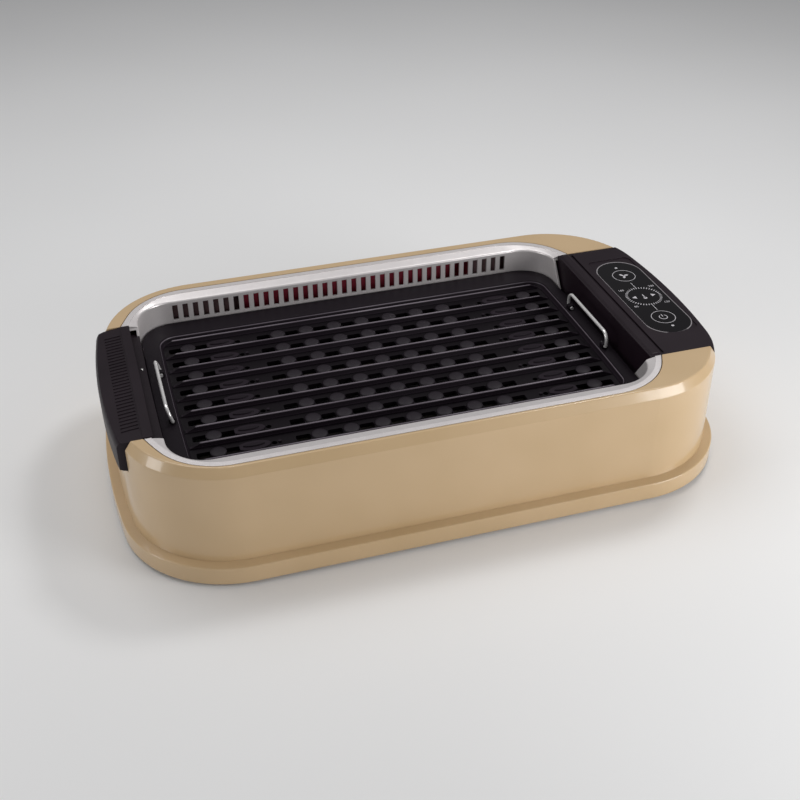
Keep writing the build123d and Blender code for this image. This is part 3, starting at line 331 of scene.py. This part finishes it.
def nonstick_casting(pan_height, rim_height):
    """Sprayed non-stick coat on a casting: near black, speckled, with painted highlights on the rib
    crests and painted shading by height.
    """
    material, tree, shader = new_finish(
        "nonstick_coated_casting", IOR=1.45, Specular_IOR_Level=0.14
    )
    where = put(tree, "ShaderNodeTexCoord").outputs["Object"]
    height = put(tree, "ShaderNodeSeparateXYZ", links={"Vector": where}).outputs["Z"]
    raised = put(
        tree,
        "ShaderNodeMapRange",
        {"From Min": pan_height, "From Max": rim_height},
        {"Value": height},
    ).outputs["Result"]
    # Painted shading by height: darkest on the valley floor, lighter on the tops of the pads,
    # darker again up the rib faces
    depth = put(
        tree,
        "ShaderNodeValToRGB",
        links={"Fac": raised},
        stops=[
            (0.0, "#0F090F"),
            (0.1, "#110B12"),
            (0.155, "#292129"),
            (0.3, "#1E171E"),
            (0.9, "#150E15"),
        ],
    ).outputs["Color"]
    # Painted highlight: the rib crests are painted pale, brighter in slow patches, in place of the
    # light they catch
    crest_highlight_mask = put(
        tree,
        "ShaderNodeValToRGB",
        links={"Fac": raised},
        stops=[(0.68, "#000000"), (0.8, "#FFFFFF"), (0.84, "#FFFFFF"), (0.88, "#000000")],
    ).outputs["Color"]
    highlight_drift = put(
        tree, "ShaderNodeTexNoise", {"Scale": 1 / HIGHLIGHT_DRIFT, "Detail": 3.0}, {"Vector": where}
    ).outputs["Fac"]
    crest_highlight_colour = put(
        tree, "ShaderNodeValToRGB", links={"Fac": highlight_drift}, stops=[(0.3, "#544C54"), (0.7, "#8C848C")]
    ).outputs["Color"]
    crest_highlighted_colour = put(
        tree,
        "ShaderNodeMix",
        links={MIX_FACTOR: crest_highlight_mask, MIX_BASE: depth, MIX_TOP: crest_highlight_colour},
        data_type="RGBA",
    ).outputs[MIX_COLOUR]
    speck = put(
        tree,
        "ShaderNodeTexNoise",
        {"Scale": 1 / SPECK, "Detail": 4.0, "Roughness": 0.75},
        {"Vector": where},
    ).outputs["Fac"]
    flecks = put(
        tree,
        "ShaderNodeValToRGB",
        links={"Fac": speck},
        stops=[(0.62, "#000000"), (0.82, "#1B181C")],
    ).outputs["Color"]
    colour = put(
        tree,
        "ShaderNodeMix",
        {MIX_FACTOR: 1.0},
        {MIX_BASE: crest_highlighted_colour, MIX_TOP: flecks},
        data_type="RGBA",
        blend_type="ADD",
    ).outputs[MIX_COLOUR]
    sheen = put(
        tree, "ShaderNodeMapRange", {"To Min": 0.55, "To Max": 0.24}, {"Value": crest_highlight_mask}
    ).outputs["Result"]
    edges = put(
        tree, "ShaderNodeBevel", {"Radius": EDGE_COATED}, samples=EDGE_SAMPLES
    ).outputs["Normal"]
    skin = put(
        tree,
        "ShaderNodeBump",
        {"Strength": 0.35, "Distance": 0.03 * MM},
        {"Height": speck, "Normal": edges},
    ).outputs["Normal"]
    feed_shader(tree, shader, colour, sheen, skin)
    return material


def chrome_plate():
    """Bright chrome on bent steel wire: mirror-like, with faint drawing marks."""
    material, tree, shader = new_finish("bright_chrome_wire", Metallic=0.5)
    where = put(tree, "ShaderNodeTexCoord").outputs["Object"]
    film = put(
        tree, "ShaderNodeTexNoise", {"Scale": 1 / SPRAY, "Detail": 2.0}, {"Vector": where}
    ).outputs["Fac"]
    colour = put(
        tree, "ShaderNodeValToRGB", links={"Fac": film}, stops=[(0.3, "#EEECEB"), (0.7, "#F8F6F5")]
    ).outputs["Color"]
    drawn = put(
        tree, "ShaderNodeTexNoise", {"Scale": 1 / DRAWN, "Detail": 2.0}, {"Vector": where}
    ).outputs["Fac"]
    sheen = put(
        tree, "ShaderNodeMapRange", {"To Min": 0.16, "To Max": 0.28}, {"Value": drawn}
    ).outputs["Result"]
    feed_shader(tree, shader, colour, sheen)
    return material


def rolled_steel(name, dark, light):
    """Cold-rolled steel sheet between two greys, with fine rolling lines along X."""
    material, tree, shader = new_finish(name, Metallic=1.0)
    where = put(tree, "ShaderNodeTexCoord").outputs["Object"]
    along = put(
        tree, "ShaderNodeMapping", {"Scale": (ROLL_STRETCH, 1.0, 1.0)}, {"Vector": where}
    ).outputs["Vector"]
    lines = put(
        tree, "ShaderNodeTexNoise", {"Scale": 1 / ROLLED, "Detail": 3.0}, {"Vector": along}
    ).outputs["Fac"]
    colour = put(
        tree, "ShaderNodeValToRGB", links={"Fac": lines}, stops=[(0.3, dark), (0.7, light)]
    ).outputs["Color"]
    sheen = put(
        tree, "ShaderNodeMapRange", {"To Min": 0.28, "To Max": 0.42}, {"Value": lines}
    ).outputs["Result"]
    skin = put(
        tree, "ShaderNodeBump", {"Strength": 0.3, "Distance": 0.01 * MM}, {"Height": lines}
    ).outputs["Normal"]
    feed_shader(tree, shader, colour, sheen, skin)
    return material


def plain_finish(name, dark, light, rough_low, rough_high, size_mm, height_mm=0.02, **sockets):
    """A plain finish: two close colours, a roughness between two values, and grains of size_mm.

    The grains stand height_mm proud, and the other sockets go to the shader as they are.
    """
    material, tree, shader = new_finish(name, **sockets)
    where = put(tree, "ShaderNodeTexCoord").outputs["Object"]
    grain = put(
        tree, "ShaderNodeTexNoise", {"Scale": 1 / (size_mm * MM), "Detail": 3.0}, {"Vector": where}
    ).outputs["Fac"]
    colour = put(
        tree, "ShaderNodeValToRGB", links={"Fac": grain}, stops=[(0.3, dark), (0.7, light)]
    ).outputs["Color"]
    sheen = put(
        tree, "ShaderNodeMapRange", {"To Min": rough_low, "To Max": rough_high}, {"Value": grain}
    ).outputs["Result"]
    skin = put(
        tree, "ShaderNodeBump", {"Strength": 0.4, "Distance": height_mm * MM}, {"Height": grain}
    ).outputs["Normal"]
    feed_shader(tree, shader, colour, sheen, skin)
    return material


def studio_paper():
    """Matt pale studio paper with a barely visible drift of tone."""
    material, tree, shader = new_finish(
        "pale_studio_floor", Roughness=0.9, Specular_IOR_Level=0.1
    )
    where = put(tree, "ShaderNodeTexCoord").outputs["Object"]
    tone = put(
        tree, "ShaderNodeTexNoise", {"Scale": 1 / PAPER, "Detail": 1.0}, {"Vector": where}
    ).outputs["Fac"]
    colour = put(
        tree, "ShaderNodeValToRGB", links={"Fac": tone}, stops=[(0.3, "#ECECEC"), (0.7, "#EFEFEF")]
    ).outputs["Color"]
    tree.links.new(colour, shader.inputs["Base Color"])
    return material


plate_low, plate_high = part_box("grill_plate")
pan_floor = plate_high[2] - PAN_DEPTH

champagne = champagne_abs()
silver = silver_lacquer()
black_abs = black_grained_abs()
glass = panel_glass()
nonstick = nonstick_casting(pan_floor, plate_high[2])
chrome = chrome_plate()
# Plain grey steel of the shield, the clips, the screws and the shaft
steel = rolled_steel("rolled_steel_sheet", "#8F8D8C", "#A8A6A5")
# The tub's sheet, in dark greys
dark_tub_steel = rolled_steel("dark_grey_steel_sheet", "#3E3936", "#544E4A")
# Dark red polypropylene, matt from the mould; it shows as a wine red behind the slots
red_duct = plain_finish("dark_red_moulded_pp", "#8E1F34", "#A02940", 0.5, 0.65, 3.0, IOR=1.49)
# Black glass-filled nylon inside, matt and slightly streaky
nylon = plain_finish("black_filled_nylon", "#151416", "#1E1C1F", 0.55, 0.7, 2.0, IOR=1.53)
# Dark brown-black liner behind the outer slots, matt: a dark sheet that stands in for the shade
# inside the shell there
slot_shade_liner = plain_finish("painted_shade_liner_moulding", "#4A3436", "#5A4042", 0.6, 0.75, 2.0, IOR=1.5)
# Nitrile rubber, matt with a fine bloom
rubber = plain_finish("nitrile_rubber", "#161617", "#232324", 0.75, 0.9, 1.2, IOR=1.5)
# Epoxy board under green solder mask, half gloss
solder_mask = plain_finish("green_solder_mask", "#14502B", "#1A6336", 0.3, 0.4, 4.0, IOR=1.5)
# Extruded aluminium, dull from the die
bare_aluminium = plain_finish(
    "extruded_aluminium", "#B4B5B7", "#C6C7C9", 0.3, 0.45, 1.5, Metallic=1.0
)
# Brass contacts, lightly tarnished
brass = plain_finish("drawn_brass", "#B08D4A", "#C9A862", 0.25, 0.4, 2.0, Metallic=1.0)
# Steatite, unglazed and chalky
steatite = plain_finish("unglazed_steatite", "#D8D2C4", "#E4DFD3", 0.7, 0.85, 1.0, IOR=1.6)
# The plug's steatite, in dark browns; it shows only as a dark shape below the drain slots
dark_brown_steatite = plain_finish("dark_brown_steatite", "#332B25", "#453B33", 0.7, 0.85, 2.0, IOR=1.6)
# Heater sheath of nickel alloy, darkened by heat and painted darker still as the shade seen through
# the drain slots
sheath = plain_finish("heat_darkened_and_shaded_sheath", "#2C2826", "#443E39", 0.45, 0.6, 2.5, Metallic=0.7)
# Powder-coated motor can with a fine orange peel
motor_coat = plain_finish("powder_coated_can", "#3B3D40", "#4A4C50", 0.45, 0.55, 1.0, 0.04, IOR=1.5)
# Shrink sleeve of the capacitor, dark blue PVC
sleeve = plain_finish("pvc_shrink_sleeve", "#1C2636", "#243048", 0.3, 0.4, 5.0, IOR=1.53)
# Satin grey moulding that frames the glass with a thin pale line
bezel_grey = plain_finish("satin_grey_moulding", "#8A8588", "#9A9598", 0.35, 0.45, 1.2, IOR=1.5)
# Non-stick coated steel of the tray, slightly rough
tray_coat = plain_finish("coated_tray_steel", "#1D1A1E", "#2B272C", 0.35, 0.5, 1.0, 0.03, IOR=1.5)
# White screen ink of the marks, matt and a little uneven
ink = plain_finish("white_screen_ink", "#B9B6BA", "#D2CFD3", 0.5, 0.6, 0.6, 0.005, IOR=1.45)
# The same non-stick coat on the pads' crowns, painted a little paler as the light that the crowns
# catch
pad_coat_painted_highlight = plain_finish(
    "nonstick_pads_painted_paler", "#1C161D", "#272027", 0.45, 0.58, 0.8, 0.03, Specular_IOR_Level=0.2
)
# Polished steel of the small rivet
rivet_steel = plain_finish(
    "polished_rivet_steel", "#D9D7D5", "#E8E6E4", 0.12, 0.22, 0.8, 0.005, Metallic=1.0
)

# The CAD nodes keep their shapes and take these finishes
NODE_FINISHES = {
    "outer_shell": champagne,
    "base_plinth": champagne,
    "rear_surround": silver,
    "front_surround": silver,
    "left_grip": black_abs,
    "console_housing": black_abs,
    "touch_panel": glass,
    "panel_bezel": bezel_grey,
    "touch_board": solder_mask,
    "power_board": solder_mask,
    "relay": nylon,
    "capacitor": sleeve,
    "heat_sink": bare_aluminium,
    "power_inlet": nylon,
    "inlet_pins": brass,
    "rubber_feet": rubber,
    "housing_screws": steel,
    "well_tub": dark_tub_steel,
    "heat_shield": steel,
    "thermal_cutoff": nylon,
    "socket_block": steatite,
    "smoke_duct": red_duct,
    # The rear baffle is a dark sheet that stands in for the shade behind the outer slots
    "rear_baffle": slot_shade_liner,
    "blower_housing": nylon,
    "shaft_bearing": brass,
    "blower_motor": motor_coat,
    "motor_cradle": nylon,
    "blower_impeller": nylon,
    "impeller_shaft": steel,
    "drip_tray": tray_coat,
    "grill_plate": nonstick,
    "heating_element": sheath,
    "element_clips": steel,
    "plug_block": dark_brown_steatite,
    "plug_pins": brass,
    "bail_lugs": nonstick,
    "left_bail": chrome,
    "right_bail": chrome,
}
for node_name, finish in NODE_FINISHES.items():
    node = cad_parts[node_name]
    node.data.materials.clear()
    node.data.materials.append(finish)


def raise_and_fit(name, height, finish, body):
    """Raises the flat outline in hand to a solid, puts its place into its mesh and lets it ride."""
    piece = bpy.context.object
    bpy.ops.object.transform_apply(location=True, rotation=True, scale=True)
    bpy.ops.object.mode_set(mode="EDIT")
    bpy.ops.mesh.select_all(action="SELECT")
    bpy.ops.mesh.extrude_region_move(TRANSFORM_OT_translate={"value": (0, 0, height)})
    bpy.ops.mesh.select_all(action="SELECT")
    bpy.ops.mesh.normals_make_consistent(inside=False)
    bpy.ops.object.mode_set(mode="OBJECT")
    piece.name = name
    piece.data.materials.clear()
    piece.data.materials.append(finish)
    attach(piece, body)
    return piece


glass_low, glass_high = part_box("touch_panel")
glass_x = (glass_low[0] + glass_high[0]) / 2
glass_y = (glass_low[1] + glass_high[1]) / 2
glass_top = glass_high[2]


def on_glass(place):
    """A place on the glass from an offset to its middle."""
    return (glass_x + place[0], glass_y + place[1], glass_top)


def flat_disc(place, radius, sides=RING_SIDES, turn=0.0):
    """Starts a flat shape with a number of sides on the glass; it stays selected for more work."""
    bpy.ops.object.select_all(action="DESELECT")
    bpy.ops.mesh.primitive_circle_add(
        vertices=sides,
        radius=radius,
        fill_type="NGON",
        location=on_glass(place),
        rotation=(0, 0, turn),
    )


def printed_ring(name, place, radius, line, open_from=None):
    """A printed ring; open_from is the share of the radius behind which it is cut away."""
    flat_disc(place, radius + line / 2)
    bpy.ops.object.transform_apply(location=True, rotation=True, scale=True)
    bpy.ops.object.mode_set(mode="EDIT")
    bpy.ops.mesh.select_all(action="SELECT")
    bpy.ops.mesh.inset(thickness=line)
    bpy.ops.mesh.delete(type="FACE")
    if open_from is not None:
        x, y, z = on_glass(place)
        bpy.ops.mesh.select_all(action="SELECT")
        bpy.ops.mesh.bisect(
            plane_co=(x, y + open_from * radius, z),
            plane_no=(0, 1, 0),
            clear_outer=True,
        )
    bpy.ops.object.mode_set(mode="OBJECT")
    raise_and_fit(name, PRINT_HEIGHT, ink, "base")


def printed_bar(name, place, size):
    """A printed rectangle of a size, about its middle."""
    bpy.ops.object.select_all(action="DESELECT")
    bpy.ops.mesh.primitive_plane_add(size=1.0, location=on_glass(place))
    bpy.context.object.scale = (size[0], size[1], 1.0)
    raise_and_fit(name, PRINT_HEIGHT, ink, "base")


def repeat_around(place, count):
    """Repeats the piece in hand count times around a place on the glass."""
    bpy.ops.object.mode_set(mode="EDIT")
    bpy.ops.mesh.select_all(action="SELECT")
    bpy.ops.mesh.spin(
        steps=count - 1,
        dupli=True,
        angle=2 * math.pi * (count - 1) / count,
        center=on_glass(place),
        axis=(0, 0, 1),
    )
    bpy.ops.object.mode_set(mode="OBJECT")


# Rings of the two keys, with the power mark in the front one and a fan in the rear one
printed_ring("front_key_ring", FRONT_KEY, KEY_RADIUS, PRINT_LINE)
printed_ring("rear_key_ring", REAR_KEY, KEY_RADIUS, PRINT_LINE)
printed_ring("power_mark_ring", FRONT_KEY, POWER_RADIUS, POWER_LINE, POWER_OPEN_FROM)
printed_bar(
    "power_mark_bar",
    (FRONT_KEY[0], FRONT_KEY[1] + POWER_BAR_PLACE),
    (POWER_LINE, POWER_BAR_LENGTH),
)
flat_disc((REAR_KEY[0] + FAN_BLADE_PLACE[0], REAR_KEY[1] + FAN_BLADE_PLACE[1]), 1.0)
bpy.context.object.scale = (FAN_BLADE[0], FAN_BLADE[1], 1.0)
raise_and_fit("fan_mark", PRINT_HEIGHT, ink, "base")
repeat_around(REAR_KEY, FAN_BLADES)

# Dial: a ring of ticks, an arrow on each side and a thermometer in it, a number at each corner
printed_bar("dial_ticks", (DIAL[0] + DIAL_RADIUS, DIAL[1]), TICK_SIZE)
repeat_around(DIAL, TICK_COUNT)
for side, name in ((-1, "left"), (1, "right")):
    place = (DIAL[0] + side * ARROW_FROM_DIAL, DIAL[1])
    flat_disc(place, ARROW_RADIUS, sides=3, turn=-side * math.pi / 2)
    raise_and_fit(name + "_arrow", PRINT_HEIGHT, ink, "base")
flat_disc((DIAL[0], DIAL[1] - BULB_STEM / 2), BULB_RADIUS)
raise_and_fit("thermometer_bulb", PRINT_HEIGHT, ink, "base")
printed_bar("thermometer_stem", DIAL, (BULB_STEM_WIDTH, BULB_STEM))
number = 0
for along in (-1, 1):
    for across in (-1, 1):
        number += 1
        bpy.ops.object.select_all(action="DESELECT")
        place = (DIAL[0] + across * NUMBER_ACROSS, DIAL[1] + along * NUMBER_ALONG)
        bpy.ops.object.text_add(location=on_glass(place))
        figure = bpy.context.object
        figure.data.body = str(LOWEST_NUMBER + number * NUMBER_STEP)
        figure.data.size = NUMBER_SIZE
        figure.data.align_x = "CENTER"
        figure.data.align_y = "CENTER"
        bpy.ops.object.convert(target="MESH")
        raise_and_fit("level_number_" + str(number), PRINT_HEIGHT, ink, "base")

# Lines from the dial to the keys, and a dot beyond each key
for side, name in ((-1, "front"), (1, "rear")):
    middle_y = DIAL[1] + side * (STEM_FROM_DIAL + STEM_LENGTH / 2)
    printed_bar(name + "_stem", (DIAL[0], middle_y), (PRINT_LINE, STEM_LENGTH))
    flat_disc((DIAL[0], side * DOT_ALONG), DOT_RADIUS)
    raise_and_fit(name + "_dot", PRINT_HEIGHT, ink, "base")

# Domes: each row's first cap is cut from a flattened ball and copied along in edit mode
pan_half_length = (plate_high[0] - plate_low[0]) / 2 + PLATE_GAP - PAN_RIM_END
pan_half_depth = (plate_high[1] - plate_low[1]) / 2 + PLATE_GAP - PAN_RIM_SIDE
pan_x = (plate_low[0] + plate_high[0]) / 2 + PAN_SHIFT
pan_y = (plate_low[1] + plate_high[1]) / 2
row_pitch = 2 * (pan_half_depth - RIB_SIDE_GAP) / RIB_ROWS
inner_xs = [i * DOME_PITCH for i in range(1 - INNER_DOMES, INNER_DOMES)]
outer_x = pan_half_length - LAST_DOME_FROM_END
dome_xs = [-outer_x, *inner_xs, outer_x]
dome_ys = [(i - (RIB_ROWS - 1) / 2) * row_pitch for i in range(RIB_ROWS)]
for row, dome_y in enumerate(dome_ys):
    bpy.ops.object.select_all(action="DESELECT")
    bpy.ops.mesh.primitive_uv_sphere_add(
        segments=DOME_SEGMENTS,
        ring_count=DOME_RINGS,
        radius=1.0,
        location=(pan_x + dome_xs[0], pan_y + dome_y, pan_floor + DOME_SEAT),
    )
    caps = bpy.context.object
    caps.scale = (DOME_RADIUS, DOME_RADIUS, DOME_RISE)
    bpy.ops.object.transform_apply(location=True, rotation=True, scale=True)
    bpy.ops.object.mode_set(mode="EDIT")
    bpy.ops.mesh.select_all(action="SELECT")
    bpy.ops.mesh.bisect(
        plane_co=(pan_x, pan_y, pan_floor + DOME_SEAT),
        plane_no=(0, 0, 1),
        clear_inner=True,
        use_fill=True,
    )
    bpy.ops.mesh.select_all(action="SELECT")
    for before, after in zip(dome_xs, dome_xs[1:]):
        bpy.ops.mesh.duplicate_move(TRANSFORM_OT_translate={"value": (after - before, 0, 0)})
    bpy.ops.object.mode_set(mode="OBJECT")
    bpy.ops.object.shade_smooth_by_angle(angle=SMOOTH_BELOW)
    caps.name = "pad_domes_" + str(row + 1)
    caps.data.materials.clear()
    caps.data.materials.append(pad_coat_painted_highlight)
    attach(caps, "plate")

# Rivet on the black ledge beside the left grip
bpy.ops.object.select_all(action="DESELECT")
bpy.ops.mesh.primitive_circle_add(
    vertices=RIVET_SIDES,
    radius=RIVET_RADIUS,
    fill_type="NGON",
    location=(plate_low[0] - RIVET_FROM_EDGE, RIVET_Y, RIVET_LEDGE),
)
rivet = raise_and_fit("ledge_rivet", RIVET_RISE, rivet_steel, "base")
rounding = rivet.modifiers.new("rounded_head", "BEVEL")
rounding.width = RIVET_ROUND
rounding.segments = RIVET_ROUND_STEPS
bpy.ops.object.select_all(action="DESELECT")
rivet.select_set(True)
bpy.context.view_layer.objects.active = rivet
bpy.ops.object.modifier_apply(modifier="rounded_head")
bpy.ops.object.shade_smooth_by_angle(angle=SMOOTH_BELOW)

# Floor, world and lamps
bpy.ops.object.select_all(action="DESELECT")
bpy.ops.mesh.primitive_plane_add(size=STAGE_SIZE, location=(0, 0, 0))
floor = bpy.context.object
floor.name = "floor"
floor.data.materials.append(studio_paper())

world = bpy.data.worlds.new("studio_world")
world.use_nodes = True
backdrop = world.node_tree.nodes["Background"]
backdrop.inputs["Color"].default_value = linear(WORLD_TINT)
backdrop.inputs["Strength"].default_value = WORLD_STRENGTH
bpy.context.scene.world = world


def softbox(name, place, width, height, watts, aim):
    """A rectangular area lamp that faces a point on the grill."""
    lamp = bpy.data.lights.new(name, "AREA")
    lamp.shape = "RECTANGLE"
    lamp.size = width
    lamp.size_y = height
    lamp.energy = watts
    holder = bpy.data.objects.new(name, lamp)
    bpy.context.scene.collection.objects.link(holder)
    holder.location = place
    holder.rotation_euler = (aim - Vector(place)).to_track_quat("-Z", "Y").to_euler()


for box in SOFTBOXES:
    softbox(*box)

# Camera: its back, right and up directions from azimuth, elevation and roll
azimuth = math.radians(CAMERA_AZIMUTH)
elevation = math.radians(CAMERA_ELEVATION)
roll = math.radians(CAMERA_ROLL)
back = Vector(
    (
        math.sin(azimuth) * math.cos(elevation),
        -math.cos(azimuth) * math.cos(elevation),
        math.sin(elevation),
    )
)
level_right = Vector((math.cos(azimuth), math.sin(azimuth), 0))
level_up = back.cross(level_right)
right = level_right * math.cos(roll) + level_up * math.sin(roll)
up = back.cross(right)
camera_data = bpy.data.cameras.new("photo_camera")
camera_data.lens = CAMERA_LENS
camera_data.sensor_width = SENSOR_WIDTH
camera_data.clip_start = NEAR_CLIP
camera = bpy.data.objects.new("photo_camera", camera_data)
bpy.context.scene.collection.objects.link(camera)
turned = Matrix((right, up, back)).transposed().to_4x4()
camera.matrix_world = Matrix.Translation(CAMERA_PLACE) @ turned
bpy.context.scene.camera = camera
bpy.context.scene.view_settings.view_transform = "Standard"
